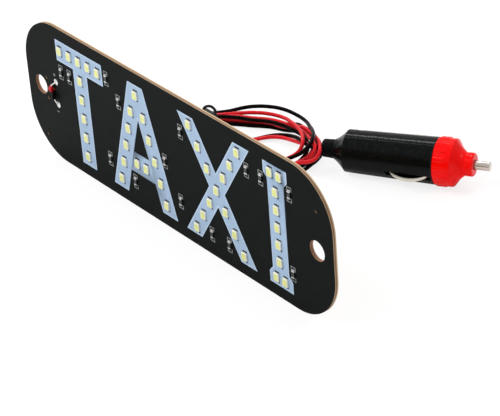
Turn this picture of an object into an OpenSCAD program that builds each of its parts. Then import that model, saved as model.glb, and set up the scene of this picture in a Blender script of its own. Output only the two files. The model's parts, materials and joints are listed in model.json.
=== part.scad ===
// Windscreen taxi sign: a flat LED board on a two-wire lead with a 12 V lighter plug.
// Millimetres. The board stands on its long lower edge, faces -Y and is centred on X.

/* [Board] */
// Length of the board
board_w = 200; // [196:1:240]
// Height of the board
board_h = 65; // [63:1:80]
// Thickness of the laminate
board_t = 1.6; // [1.2:0.1:3]
// Radius of the board's corners
corner_r = 23; // [12:1:30]
// Distance from a board end to its mounting hole
hole_inset = 9.5; // [8:0.5:10]
// Diameter of each mounting hole
hole_d = 8.8; // [5:0.1:9.4]
// Thickness of the copper
copper_t = 0.1; // [0.05:0.05:0.1]
// Thickness of the solder mask, over the laminate
mask_t = 0.2; // [0.2:0.05:0.4]
// Width of the supply buses along the long edges
bus_w = 2.4; // [1:0.1:2.6]
// Width of the tracks between the LEDs
track_w = 1.2; // [0.6:0.1:2]

/* [Letters] */
// Height of the letters
letter_h = 54.2; // [50:0.2:56]
// Width of the letters' strokes
stroke = 9.8; // [8:0.1:11]
// Thickness of the printed panels
print_t = 0.1; // [0.05:0.05:0.3]
// Bare board at the left of the word, as a share of the board's length
word_share = 0.1218; // [0.12:0.0001:0.124]
// Width of the T, as a share of the board's length
t_share = 0.1635; // [0.16:0.0005:0.165]
// Gap between the T and the A, as a share of the board's length
ta_share = 0.0065; // [0.005:0.0005:0.01]
// Width of the A, as a share of the board's length
a_share = 0.2165; // [0.21:0.0005:0.22]
// Height of the middle of the A's crossbar above the board's middle
a_bar_z = -10.5; // [-12:0.1:-9]
// Gap between the A and the X, as a share of the board's length
ax_share = 0.031; // [0.028:0.001:0.034]
// Width of the X, as a share of the board's length
x_share = 0.2235; // [0.215:0.0005:0.228]
// Gap between the X and the I, as a share of the board's length
xi_share = 0.041; // [0.038:0.001:0.044]
// Width of the I's serifs, as a share of the board's length
i_share = 0.07; // [0.065:0.0005:0.075]

/* [LEDs] */
// Width of an LED
led_w = 2.8; // [2.4:0.1:3.2]
// Length of an LED
led_l = 3.5; // [3:0.1:4]
// Thickness of an LED
led_t = 0.8; // [0.6:0.05:1.4]
// Rim around the LED's window
led_rim = 0.45; // [0.3:0.05:0.6]
// Depth of the LED's window
window_depth = 0.35; // [0.2:0.05:0.45]
// How far an LED's terminals stick out at its ends
terminal_out = 0.3; // [0.2:0.05:0.4]
// Thickness of a terminal
terminal_t = 0.2; // [0.1:0.05:0.3]

/* [Resistors] */
// Length of a chip resistor
chip_l = 3.2; // [2.8:0.1:3.4]
// Width of a chip resistor
chip_w = 1.6; // [1.2:0.1:1.8]
// Thickness of a chip resistor
chip_t = 0.6; // [0.4:0.05:0.8]
// Length of each end cap
cap_l = 0.5; // [0.3:0.05:0.7]
// Width of the printed outline
mark_w = 2.8; // [2.6:0.1:3]
// Length of the printed outline
mark_l = 6.6; // [6:0.1:6.8]
// Width of the printed lines
line_w = 0.3; // [0.2:0.05:0.4]

/* [Wires] */
// Diameter of each wire over its insulation
wire_d = 1.7; // [1.4:0.1:2]
// Diameter of the bare strands
strand_d = 1; // [0.6:0.1:1.2]
// Clearance around the two wires in their hole
wire_gap = 0.4; // [0.2:0.1:0.6]
// Distance from the board's left end to the wire hole
wire_inset = 18.5; // [18:0.5:19]
// Diameter of each solder joint
solder_d = 2.8; // [2.2:0.1:3.2]
// Height of each solder joint
solder_h = 0.8; // [0.5:0.1:1.2]
// Distance of each solder joint above or below the wire hole
solder_z = 5.4; // [5:0.1:6]

/* [Coil and tie] */
// Inner radius of the coil where it fans out
coil_in = 17; // [15:0.5:19]
// Outer radius of the coil where it fans out
coil_out = 33; // [31:0.5:33.5]
// Height of the coil
coil_h = 5.8; // [4:0.1:6]
// Width of the bundle under the tie
bundle_w = 6.4; // [5:0.1:8]
// Thickness of the tie
tie_t = 0.6; // [0.4:0.1:0.8]
// Width of the tie's wrap
tie_w = 4; // [3:0.5:6]

/* [Plug] */
// Length of the neck that shows
neck_l = 5.6; // [5:0.1:8]
// Diameter of the neck
neck_d = 8.1; // [7:0.1:8.8]
// Length of the shell's flared end
flare_l = 5.4; // [4.6:0.1:6]
// Length of the shell's straight part
shell_l = 39; // [38:0.5:42]
// Diameter of the shell at the ring
shell_d = 19.8; // [19:0.1:20]
// Diameter of the shell at the flare
shell_tail_d = 18; // [17.6:0.1:18.8]
// Wall of the shell
shell_wall = 1.75; // [1.5:0.05:1.9]
// Diameter of the nose cap's ring
ring_d = 20.7; // [20.4:0.1:20.9]
// Length of the nose cap's ring
ring_l = 7.6; // [7:0.1:9]
// Length of the nose cap in front of its ring
cone_l = 8.2; // [8:0.1:9]
// Diameter of the nose cap's collar
collar_d = 9.6; // [9.2:0.1:10.6]
// Wall between the nose cap's thread and its ring
cap_wall = 1.95; // [1.6:0.05:2.2]
// Radial clearance of the nose cap on its thread
thread_gap = 0.05; // [0.02:0.01:0.1]
// Number of ribs on the ring
rib_count = 16; // [8:1:20]

/* [Contacts] */
// Diameter of the centre pin
pin_d = 3.8; // [3:0.1:4.6]
// Length of the centre pin that shows
pin_out = 6.7; // [5:0.1:8]
// Travel of the centre pin
pin_travel = 2.5; // [1:0.1:3]
// Radial clearance around the centre pin
pin_gap = 0.1; // [0.05:0.01:0.2]
// Diameter of the fuse
fuse_d = 6; // [5.2:0.1:6.2]
// Length of the fuse
fuse_l = 30; // [28:0.5:31]
// Radial clearance around the fuse
fuse_gap = 0.2; // [0.1:0.05:0.3]
// Wire thickness of the pin spring
spring_wire = 0.5; // [0.4:0.1:0.7]
// Length of the pin spring
spring_l = 10; // [9.5:0.1:10.4]
// Width of a side contact
contact_w = 1.5; // [1:0.1:1.9]
// Thickness of a side contact
contact_t = 0.8; // [0.5:0.1:1]
// Radius of the side contact's bow
bow_r = 11.9; // [11:0.1:12]
// Travel of a side contact
contact_travel = 1.5; // [1:0.1:1.5]
// Clearance on each side of a side contact
contact_gap = 0.6; // [0.4:0.05:0.8]

/* [Hidden] */

$fn = 64;
EPS = 0.01;

// ---- board, seen from the front: 2D shapes have X along the board and Y up, from its middle
mid_z = board_h / 2;
front_y = -board_t / 2;
mask_y = front_y - mask_t;
print_y = mask_y - print_t;
hole_x = board_w / 2 - hole_inset;
wire_x = -board_w / 2 + wire_inset;
wire_hole_d = 2 * wire_d + wire_gap;
solder_x = wire_x + 2.6;
sign_w = 1.6;
sign_z = solder_z + solder_d / 2 + 2;
small_hole_d = 1.6;
small_hole_x = wire_x - 4.6;
tooling_d = 1.4;
tooling = [[-board_w / 2 + 10, -24], [board_w / 2 - 9, 17.5]];
bus_edge = 1.2;

// ---- letters and LEDs
t_w = board_w * t_share;
a_w = board_w * a_share;
x_w = board_w * x_share;
i_w = board_w * i_share;
t_x = board_w * (word_share - 0.5) + t_w / 2;
a_x = t_x + (t_w + a_w) / 2 + board_w * ta_share;
x_x = a_x + (a_w + x_w) / 2 + board_w * ax_share;
i_x = x_x + (x_w + i_w) / 2 + board_w * xi_share;
led_margin = stroke * 0.48;
row_step = (letter_h - 2 * led_margin) / 5;
function row(i) = letter_h / 2 - led_margin - i * row_step;
a_slope = (a_w - stroke) / 2 / letter_h;
x_slope = (x_w - stroke) / letter_h;
serif_h = stroke / 2;
t_step = (t_w - 0.6 * stroke) / 4;
x_rows = (letter_h - 0.75 * stroke) / 6;
i_pair = i_w / 2 - 0.44 * stroke;
i_end_z = letter_h / 2 - 0.37 * stroke;
i_step = i_end_z / 3;
leds_t = concat([for (i = [-2 : 2]) [t_x + i * t_step, row(0)]], [for (i = [1 : 5]) [t_x, row(i)]]);
leds_a = concat([[a_x, row(0)]],
    [for (i = [1 : 5], s = [-1, 1]) [a_x + s * a_slope * (letter_h / 2 - row(i)), row(i)]],
    [for (s = [-1, 1]) [a_x + s * 3.1, a_bar_z]]);
leds_x = concat([[x_x, 0]],
    [for (i = [1 : 3], s = [-1, 1], v = [-1, 1]) [x_x + s * x_slope * i * x_rows, v * i * x_rows]]);
leds_i = concat([for (s = [-1, 1], v = [-1, 1]) [i_x + s * i_pair, v * i_end_z]],
    [for (i = [-2 : 2]) [i_x, i * i_step]]);
// half the width of the A and of the X at a height above the board's middle
function a_side(z) = stroke / 2 + a_slope * (letter_h / 2 - z);
function x_side(z) = stroke / 2 + x_slope * abs(z);
function below_top(d) = letter_h / 2 - d;
function over_foot(d) = d - letter_h / 2;
// each resistor stands clear of the letter beside it
chip_gap = mark_w / 2 + 0.5;
resistors = [
    [t_x - t_w / 2 + chip_gap, below_top(stroke + 5.3)],
    [t_x - stroke / 2 - chip_gap - 1.6, below_top(stroke + 5.3)],
    [t_x + t_w / 2 + chip_gap + 0.8, below_top(5)],
    [a_x - a_side(below_top(13)) - chip_gap - 2.1, below_top(13)],
    [a_x - a_side(over_foot(10.6)) - chip_gap - 2.7, over_foot(10.6)],
    [a_x + a_side(over_foot(26) - mark_l / 2) + chip_gap - 0.2, over_foot(26)],
    [a_x - 6, a_bar_z - stroke / 2 - mark_l / 2 - 1.5],
    [a_x + a_side(over_foot(11)) + chip_gap + 4.9, over_foot(11)],
    [x_x - x_side(below_top(9.6)) - chip_gap - 3.4, below_top(9.6)],
    [x_x + x_side(below_top(9.3)) + chip_gap + 1.7, below_top(9.3)],
    [x_x - x_side(over_foot(4.5)) + stroke + chip_gap + 2.2, over_foot(4.5)],
    [x_x + x_side(over_foot(4.5)) - stroke - chip_gap - 2.2, over_foot(4.5)],
    [i_x - i_w / 2 - chip_gap, below_top(9)],
    [i_x + i_w / 2 + chip_gap - 0.8, below_top(8.9)],
    [i_x + i_w / 2 + chip_gap - 1.3, over_foot(9.6)],
];

// ---- wires: the middle of the pair, from the wire hole down behind the board to the coil
wire_r = wire_d / 2;
wire_pitch = wire_d + 0.1;
back_y = board_t / 2;
to_coil = [
    [wire_x, back_y, mid_z], [wire_x, 5, mid_z - 0.1], [wire_x, 9.5, mid_z - 1.5],
    [wire_x, 13, mid_z - 4.5], [wire_x + 0.1, 15.5, 24],
    [wire_x + 0.3, 17.5, 19], [-80.8, 19.5, 13.5], [-80, 22, 8.5], [-78.5, 25.2, 4.4], [-76.2, 29, 1.9],
    [-73.2, 33.2, 1], [-69.9, 37.5, 1], [-66.7, 41.8, 1], [-64, 45.9, 1], [-61.7, 49.6, 1.3],
    [-59.8, 52.6, 1.9], [-58.5, 55.4, 2.6],
];
// and from inside the coil over its far side into the plug
to_plug = [
    [-41.6, 46, 1.2], [-42.6, 50, 1], [-42, 54.4, 1], [-40, 58.8, 1], [-37.4, 62.9, 1.1],
    [-34.6, 66.8, 1.3], [-31.7, 70.2, 1.9], [-28.2, 73.1, 3], [-23.9, 75.2, 4.6], [-19, 75.7, 6.2],
    [-13.6, 74.8, 7.4], [-7.6, 73, 8.2],
];
coil_centre = [-30.5, 60.5];
pinch_angle = 24;
pinch_r = 27;

// ---- plug, along its own axis from the end of the neck
flare_s = neck_l;
shell_s = flare_s + flare_l;
ring_s = shell_s + shell_l;
cone_s = ring_s + ring_l;
face_s = cone_s + cone_l;
tip_s = face_s + pin_out;
shell_r = shell_d / 2;
shell_tail_r = shell_tail_d / 2;
cavity_r = shell_tail_r - shell_wall;
ring_r = ring_d / 2;
bore_r = ring_r - cap_wall;
spigot_r = bore_r - thread_gap;
neck_r = neck_d / 2;
neck_bore_r = wire_d + 0.15;
flange_r = neck_r + 1.3;
flange_s = flare_s + 3;
flange_l = 1.8;
pin_r = pin_d / 2;
fuse_r = fuse_d / 2;
fuse_bore_r = fuse_r + fuse_gap;
cradle_r = fuse_bore_r + 1.1;
cap_front = 2.3;
collar_l = 1.4;
collar_r = pin_r + 1.4;
collar_s = face_s - cap_front - 0.1 - collar_l;
fuse_s = collar_s - fuse_l;
plate_l = 1.2;
plate_s = fuse_s - spring_l - plate_l;
plate_r = fuse_r + 1;
spring_s = plate_s + plate_l;
spigot_end = cone_s - 1.1;
washer_l = 0.7;
washer_s = cone_s - 0.1 - washer_l;
chamber_s = flange_s + flange_l + 1.2;
chamber_end = plate_s - 1;
cavity_s = spring_s + 2;
cavity_end = ring_s + 2;
bow_s = (cavity_s + cavity_end) / 2 + 1.6;
foot_top = cavity_r - 0.15;
slot_half = sqrt(bow_r * bow_r - foot_top * foot_top) + contact_gap / 2;
screw_s = (chamber_s + chamber_end) / 2;
screw_z = 5;
screw_r = 0.9;
screw_head_r = 1.9;
screw_seat = 4.6;
foot_l = 1.2;
lead_z = plate_r + wire_r + 0.3;
strap_s = cavity_s + 0.5;
strap_end = bow_s - slot_half - foot_l - 0.3;
cap_gap = 0.3;
rib_h = 0.25;
rib_w = 1.3;
rib_s = ring_s + 0.9;
cap_r = ring_r - rib_h;
collar_out = collar_d / 2;
cap_cavity_r = collar_r + 0.3;
spring_turns = 6;
spring_r = fuse_r - 0.4 - spring_wire / 2;
// the plug lies on its ring and on the rear of its shell
plug_tilt = atan((ring_r - shell_tail_r) / (rib_s - shell_s));
plug_yaw = 29.5;
plug_roll = 22;
plug_tail = [2.7, 74.9, ring_r * cos(plug_tilt) - rib_s * sin(plug_tilt)];
tie_top = coil_h + 2 * tie_t + 0.55;
tie_loop_route = [
    [-57.4, 59, tie_top], [-57.5, 57.9, tie_top + 0.9], [-57.6, 58.5, tie_top + 2],
    [-57.6, 60.8, tie_top + 2.5], [-57.6, 63, tie_top + 2], [-57.6, 63.7, tie_top + 0.9],
    [-57.5, 62.6, tie_top],
];

// ---- general shapes
module from_front(y, t) { translate([0, y, mid_z]) rotate([90, 0, 0]) linear_extrude(t) children(); }
module disc_at(p, d) { translate(p) circle(d = d); }
module rounded_box(w, h, r) {
    square([w - 2 * r, h], center = true);
    square([w, h - 2 * r], center = true);
    for (x = [-1, 1], y = [-1, 1]) translate([x * (w / 2 - r), y * (h / 2 - r)]) circle(r);
}
module board_holes(grow = 0) {
    for (s = [-1, 1]) disc_at([s * hole_x, 0], hole_d + 2 * grow);
    disc_at([wire_x, 0], wire_hole_d + 2 * grow);
    for (s = [-1, 1]) disc_at([small_hole_x, s * 5], small_hole_d + 2 * grow);
    for (p = tooling) disc_at(p, tooling_d + 2 * grow);
}
// a straight strip from a to b
module strip(a, b, w) {
    d = b - a;
    translate(a) rotate(atan2(d.y, d.x)) translate([0, -w / 2]) square([norm(d), w]);
}

// ---- tube swept along points
function unit(v) = v / norm(v);
function along(p, i) = unit(p[min(i + 1, len(p) - 1)] - p[max(i - 1, 0)]);
function carried(n, t) = unit(n - (n * t) * t);
function normals(p, start) = [for (i = 0, n = carried(start, along(p, 0)); i < len(p);
    n = carried(n, along(p, min(i + 1, len(p) - 1))), i = i + 1) n];
function ring_of(c, n, t, r, k) = [for (j = [0 : k - 1])
    c + r * (cos((j + 0.5) * 360 / k) * n + sin((j + 0.5) * 360 / k) * cross(t, n))];
module tube(p, d, k = 8, start = [1, 0, 0]) {
    n = normals(p, start);
    rings = [for (i = [0 : len(p) - 1]) each ring_of(p[i], n[i], along(p, i), d / 2, k)];
    last = len(p) - 1;
    polyhedron(rings, concat(
        [[for (j = [0 : k - 1]) j]],
        [for (i = [0 : last - 1], j = [0 : k - 1])
            [i * k + j, (i + 1) * k + j, (i + 1) * k + (j + 1) % k, i * k + (j + 1) % k]],
        [[for (j = [k - 1 : -1 : 0]) last * k + j]]));
}
// one wire of the pair: side 1 is the left one seen along the route, the red one
function level_side(t) = unit([-t.y, t.x, 0]);
function beside(p, side) = [for (i = [0 : len(p) - 1])
    p[i] + side * wire_pitch / 2 * level_side(along(p, i))];

// ---- board
module board_laminate() color("tan")
    from_front(back_y, board_t) difference() { rounded_box(board_w, board_h, corner_r); board_holes(); }
module plus_bus_2d() {
    bus_z = board_h / 2 - bus_edge - bus_w / 2;
    difference() {
        translate([0, bus_z]) square([board_w - 2 * corner_r, bus_w], center = true);
        board_holes(1);
    }
    strip([solder_x, solder_z], [solder_x, bus_z], track_w);
    disc_at([solder_x, solder_z], solder_d + 0.6);
}
module minus_bus_2d() mirror([0, 1]) plus_bus_2d();
module chain_2d(p) for (i = [0 : len(p) - 2]) strip(p[i], p[i + 1], track_w);
module tracks_2d() difference() {
    union() {
        chain_2d([for (i = [0 : 4]) leds_t[i]]);
        chain_2d([leds_t[2], leds_t[9]]);
        for (s = [-1, 1]) chain_2d([[a_x, row(0)], [a_x + s * a_slope * (letter_h - led_margin), row(5)]]);
        chain_2d([leds_a[11], leds_a[12]]);
        x_top = 3 * x_rows;
        for (s = [-1, 1]) chain_2d([[x_x - s * x_slope * x_top, -x_top], [x_x + s * x_slope * x_top, x_top]]);
        chain_2d([[i_x, -i_end_z], [i_x, i_end_z]]);
        for (v = [-1, 1]) chain_2d([[i_x - i_pair, v * i_end_z], [i_x + i_pair, v * i_end_z]]);
    }
    for (p = concat(leds_t, leds_a, leds_x, leds_i)) translate(p) square([led_w, 1.2], center = true);
}
module copper_plus_bus() color("peru") from_front(front_y, copper_t) plus_bus_2d();
module copper_minus_bus() color("peru") from_front(front_y, copper_t) minus_bus_2d();
module copper_tracks() color("peru") from_front(front_y, copper_t) tracks_2d();
module solder_mask() color("#222322") difference() {
    from_front(front_y, mask_t) difference() {
        rounded_box(board_w, board_h, corner_r);
        board_holes();
        for (s = [-1, 1]) disc_at([solder_x, s * solder_z], solder_d + 0.1);
    }
    from_front(front_y + EPS, copper_t + EPS) { plus_bus_2d(); minus_bus_2d(); tracks_2d(); }
}

// ---- letters
module t_2d() translate([t_x, 0]) {
    translate([-t_w / 2, letter_h / 2 - stroke]) square([t_w, stroke]);
    translate([-stroke / 2, -letter_h / 2]) square([stroke, letter_h - stroke + EPS]);
}
// one slanting stroke: x is at the top, lean is how far its foot is to the right
module slant(x, lean) polygon([[x - stroke / 2, letter_h / 2], [x + stroke / 2, letter_h / 2],
    [x + lean + stroke / 2, -letter_h / 2], [x + lean - stroke / 2, -letter_h / 2]]);
module a_2d() translate([a_x, 0]) {
    for (s = [-1, 1]) slant(0, s * a_slope * letter_h);
    bar_half = a_slope * (letter_h / 2 - a_bar_z);
    translate([-bar_half, a_bar_z - stroke / 2]) square([2 * bar_half, stroke]);
}
module x_2d() translate([x_x, 0])
    for (s = [-1, 1]) slant(-s * x_slope * letter_h / 2, s * x_slope * letter_h);
module i_2d() translate([i_x, 0]) {
    square([stroke, letter_h], center = true);
    for (v = [-1, 1]) scale([1, v]) polygon([[-i_w / 2, letter_h / 2], [i_w / 2, letter_h / 2],
        [i_w / 2, letter_h / 2 - serif_h], [stroke / 2 - EPS, letter_h / 2 - 1.5 * serif_h],
        [-stroke / 2 + EPS, letter_h / 2 - 1.5 * serif_h], [-i_w / 2, letter_h / 2 - serif_h]]);
}
module panel() color("#a8bcde") from_front(mask_y, print_t) children();

// ---- LEDs, one stack of solids for each place in the list
module at_each(places, y) for (p = places) translate([p.x, y, mid_z + p.y]) rotate([90, 0, 0]) children();
module led_bodies(places) color("ivory") at_each(places, print_y) difference() {
    translate([-led_w / 2, -led_l / 2, 0]) cube([led_w, led_l, led_t]);
    translate([led_rim - led_w / 2, led_rim - led_l / 2, led_t - window_depth])
        cube([led_w - 2 * led_rim, led_l - 2 * led_rim, window_depth + 1]);
}
module led_windows(places) color("#dede82") at_each(places, print_y)
    translate([led_rim - led_w / 2, led_rim - led_l / 2, led_t - window_depth])
        cube([led_w - 2 * led_rim, led_l - 2 * led_rim, window_depth - 0.05]);
module led_terminals(places) color("silver") at_each(places, print_y) for (v = [-1, 1])
    translate([-led_w / 2 + 0.25, v > 0 ? led_l / 2 : -led_l / 2 - terminal_out, 0])
        cube([led_w - 0.5, terminal_out, terminal_t]);

// ---- resistors
module resistor_bodies() color("#181818") at_each(resistors, mask_y)
    translate([-chip_w / 2, -chip_l / 2 + cap_l, 0]) cube([chip_w, chip_l - 2 * cap_l, chip_t - 0.05]);
module resistor_caps() color("silver") at_each(resistors, mask_y) for (v = [0, 1])
    mirror([0, v, 0]) translate([-chip_w / 2, chip_l / 2 - cap_l, 0]) cube([chip_w, cap_l, chip_t]);
module resistor_outlines() color("white") at_each(resistors, mask_y) for (v = [0, 1]) mirror([0, v, 0])
    linear_extrude(print_t) difference() {
        translate([-mark_w / 2, mark_l / 2 - 1.9]) square([mark_w, 1.9]);
        translate([-mark_w / 2 + line_w, mark_l / 2 - 2]) square([mark_w - 2 * line_w, 2 - line_w]);
    }
module polarity_marks() color("white") from_front(mask_y, print_t) {
    for (s = [-1, 1]) translate([solder_x - 0.4, s * sign_z]) square([sign_w, line_w], center = true);
    translate([solder_x - 0.4, sign_z]) square([line_w, sign_w], center = true);
}

// ---- wire ends on the front
module solder_joint(v) color("#d8d8d8")
    translate([solder_x, front_y - copper_t, mid_z + v * solder_z]) rotate([90, 0, 0]) rotate_extrude() {
        edge = solder_h / 2;
        square([solder_d / 2, edge]);
        square([solder_d / 2 - edge, solder_h]);
        intersection() { translate([solder_d / 2 - edge, edge]) circle(edge); square([solder_d, solder_d]); }
    }
wire_y = mask_y - wire_r - 0.05;
function end_route(side) = [
    [wire_x - side * wire_pitch / 2, back_y, mid_z],
    [wire_x - side * wire_pitch / 2, front_y + 0.4, mid_z],
    [wire_x - side * wire_pitch / 2 + 0.05, front_y - 0.5, mid_z + side * 0.2],
    [wire_x - side * wire_pitch / 2 + 0.2, wire_y, mid_z + side * 0.9],
    [wire_x - side * wire_pitch / 2 + 0.5, wire_y - 0.1, mid_z + side * 1.8],
    [wire_x - side * wire_pitch / 2 + 0.85, wire_y, mid_z + side * 2.7],
];
module wire_end(side) tube(end_route(side), wire_d, 10);
module red_wire_end() color("#c8282d") wire_end(1);
module black_wire_end() color("#141414") wire_end(-1);
module wire_tails() color("#d8d8d8") for (side = [-1, 1]) {
    last = end_route(side)[5];
    goal = [solder_x, front_y - copper_t - solder_h - strand_d / 2, mid_z + side * solder_z];
    tube([last, last + 0.5 * (goal - last), goal], strand_d, 8);
}

// ---- lead
module red_wire_to_coil() color("#c8282d") tube(beside(to_coil, 1), wire_d);
module black_wire_to_coil() color("#141414") tube(beside(to_coil, -1), wire_d);
function neck_at(s, side) = plug_tail + wire_pitch / 2 * side * [-sin(plug_yaw), cos(plug_yaw), 0]
    + s * [cos(plug_tilt) * cos(plug_yaw), cos(plug_tilt) * sin(plug_yaw), sin(plug_tilt)];
function plug_route(side) = concat(beside(to_plug, side), [neck_at(-4, side), neck_at(0, side)]);
module red_wire_to_plug() color("#c8282d") tube(plug_route(1), wire_d);
module black_wire_to_plug() color("#141414") tube(plug_route(-1), wire_d);
module coil_arc(r, w, z0, h, from, sweep) translate([coil_centre.x, coil_centre.y, z0]) rotate(from)
    rotate_extrude(angle = sweep, $fn = 96) translate([r, h / 2]) rounded_box(w, h, min(w, h) * 0.3);
module wire_coil() color("#5a1418") {
    fan = 180 - pinch_angle;
    coil_arc((coil_in + coil_out) / 2, coil_out - coil_in, 0, coil_h, -fan, 2 * fan);
    coil_arc(pinch_r, bundle_w, tie_t, coil_h, 180 - pinch_angle - 1, 2 * pinch_angle + 2);
}
module coil_tie() color("#101010") translate([coil_centre.x - pinch_r, coil_centre.y, tie_t + coil_h / 2])
    rotate([90, 0, 0]) linear_extrude(tie_w, center = true) difference() {
        square([bundle_w + 2 * tie_t + 0.5, coil_h + 2 * tie_t], center = true);
        square([bundle_w + 0.5, coil_h], center = true);
    }
module tie_loop() color("#101010") tube(tie_loop_route, 1.1);

// ---- plug
module plug_level() { translate(plug_tail) rotate([0, 0, plug_yaw]) rotate([0, -plug_tilt, 0]) children(); }
module plug_rolled() { plug_level() rotate([plug_roll, 0, 0]) children(); }
// radius along X and place along Y of the 2D shape, turned round the plug's axis
module turned() { rotate([0, 90, 0]) rotate_extrude($fn = 96) children(); }
module span(s0, s1, r0, r1) translate([r0, s0]) square([r1 - r0, s1 - s0]);

module strain_relief() color("#181818") plug_level() turned() {
    span(0, flange_s + flange_l, neck_bore_r, neck_r);
    span(flange_s, flange_s + flange_l, neck_bore_r, flange_r);
}
module shell_section() difference() {
    union() {
        polygon([[neck_r, flare_s], [neck_r + 0.9, flare_s], [shell_tail_r, shell_s],
            [shell_r, ring_s], [neck_r, ring_s]]);
        span(ring_s - EPS, spigot_end, fuse_bore_r, spigot_r);
        span(plate_s - 1, ring_s, 2.4, neck_r + EPS);
    }
    span(0, flange_s, 0, neck_r);
    span(flange_s, flange_s + flange_l, 0, flange_r);
    span(flange_s, chamber_s + EPS, 0, neck_r);
    span(chamber_s, chamber_end, 0, cavity_r);
    span(plate_s, plate_s + plate_l, 0, plate_r);
    span(plate_s + plate_l, spigot_end + 1, 0, fuse_bore_r);
    span(cavity_s, cavity_end, cradle_r, cavity_r);
}
module half_cut(side) translate([tip_s / 2, -side * ring_d, 0])
    cube([2 * tip_s, 2 * ring_d, 4 * ring_d], center = true);
module across(s, y, z, side) translate([s, y, z]) rotate([-90 * side, 0, 0]) children();
// side -1 is the half on the near side
module shell_half(side) color("#131516") plug_rolled() difference() {
    union() {
        turned() shell_section();
        across(screw_s, 0, screw_z, side) cylinder(r = screw_r + 1.3, h = screw_seat + 0.5);
    }
    half_cut(side);
    translate([bow_s - slot_half, side > 0 ? cradle_r + 0.2 : -ring_r, -contact_w / 2 - contact_gap])
        cube([2 * slot_half, ring_r - cradle_r - 0.2, contact_w + 2 * contact_gap]);
    across(screw_s, -screw_seat, screw_z, 1) cylinder(r = screw_r + 0.05, h = 2 * screw_seat + 1);
    if (side > 0) across(screw_s, screw_seat, screw_z, 1) cylinder(r = screw_head_r + 0.1, h = ring_d);
    translate([chamber_end - 1, 0, -lead_z]) rotate([0, 90, 0])
        cylinder(r = wire_r + 0.1, h = cavity_s - chamber_end + 2);
}
module shell_near() shell_half(-1);
module shell_far() shell_half(1);
module shell_screw() color("silver") plug_rolled() {
    across(screw_s, 0.6 - screw_seat, screw_z, 1) cylinder(r = screw_r, h = 2 * screw_seat - 0.6);
    across(screw_s, screw_seat, screw_z, 1) difference() {
        cylinder(r = screw_head_r, h = 1.2);
        for (a = [0, 90]) rotate(a) translate([-1.2, -0.2, 0.6]) cube([2.4, 0.4, 1]);
    }
}

module ribs(s0, s1, r0, r1, w, count) translate([s0, 0, 0]) rotate([0, 90, 0])
    linear_extrude(s1 - s0) intersection() {
        difference() { circle(r1, $fn = 96); circle(r0, $fn = 96); }
        for (i = [0 : count - 1]) rotate(i * 360 / count) translate([0, -w / 2]) square([r1 + 1, w]);
    }
// the cone's side curves from the ring in to the collar
cone_steps = 10;
cone_start = cap_r - 0.3;
cone_run = cone_l - 3;
function cone_point(i) = [collar_out + (cone_start - collar_out) * pow(1 - i / cone_steps, 1.8),
    cone_s + 0.3 + cone_run * i / cone_steps];
module nose_cap() color("#fa2823") plug_level() {
    turned() difference() {
        polygon(concat(
            [[0, ring_s + cap_gap], [cap_r - 0.3, ring_s + cap_gap], [cap_r, ring_s + cap_gap + 0.3]],
            [[cap_r, cone_s - 0.2]],
            [for (i = [0 : cone_steps]) cone_point(i)],
            [[collar_out - 0.3, face_s - 0.5], [collar_out - 0.8, face_s], [0, face_s]]));
        span(ring_s, cone_s, 0, bore_r);
        span(cone_s - EPS, face_s - cap_front, 0, cap_cavity_r);
        span(face_s - cap_front - EPS, face_s + 1, 0, pin_r + pin_gap);
    }
    ribs(rib_s, cone_s - 1.6, cap_r - 0.2, ring_r, rib_w, rib_count);
    ribs(cone_s + 4.6, face_s - 0.8, collar_out - 0.6, collar_out + 0.2, 0.7, 12);
}
module nose_washer() color("#b89a6a") plug_level()
    turned() span(washer_s, washer_s + washer_l, fuse_bore_r, bore_r - 0.1);
module centre_pin() color("#bebab0") plug_level() turned() {
    span(collar_s, collar_s + collar_l, 0, collar_r);
    span(collar_s, tip_s - 1, 0, pin_r);
    span(collar_s, tip_s, 0, pin_r - 1);
    intersection() { translate([pin_r - 1, tip_s - 1]) circle(1, $fn = 48); span(collar_s, tip_s, 0, pin_r); }
}
fuse_end = fuse_s + fuse_l;
fuse_cap_l = 6;
module fuse_tube() color("#d8e4e4") plug_level()
    turned() span(fuse_s + 0.5, fuse_end - 0.5, fuse_r - 1.1, fuse_r - 0.3);
module fuse_caps() color("silver") plug_level() turned() {
    span(fuse_s, fuse_s + 0.5, 0, fuse_r);
    span(fuse_s, fuse_s + fuse_cap_l, fuse_r - 0.3, fuse_r);
    span(fuse_end - 0.5, fuse_end, 0, fuse_r);
    span(fuse_end - fuse_cap_l, fuse_end, fuse_r - 0.3, fuse_r);
}
module fuse_wire() color("silver") plug_level() turned() span(fuse_s + 0.5, fuse_end - 0.5, 0, 0.15);
module pin_spring() color("silver") plug_level() {
    rest = fuse_s - spring_s - spring_wire - 0.04;
    steps = 12 * spring_turns;
    tube([for (i = [0 : steps]) [spring_s + spring_wire / 2 + 0.02 + rest * i / steps,
        spring_r * cos(i * 30), spring_r * sin(i * 30)]], spring_wire, 6);
}
module rear_contact() color("goldenrod") plug_level() {
    turned() span(plate_s, plate_s + plate_l, 0, plate_r);
    translate([plate_s - 2.4, -1.2, -0.3]) cube([2.4 + EPS, 2.4, 0.6]);
}
module earth_strap() color("goldenrod") plug_rolled() {
    turned() span(strap_s, strap_end, cradle_r, cradle_r + 0.4);
    for (side = [-1, 1]) scale([1, side, 1])
        translate([strap_end - 0.4, cradle_r + 0.2, -1]) cube([0.4, foot_top - cradle_r - 0.4, 2]);
}
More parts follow.
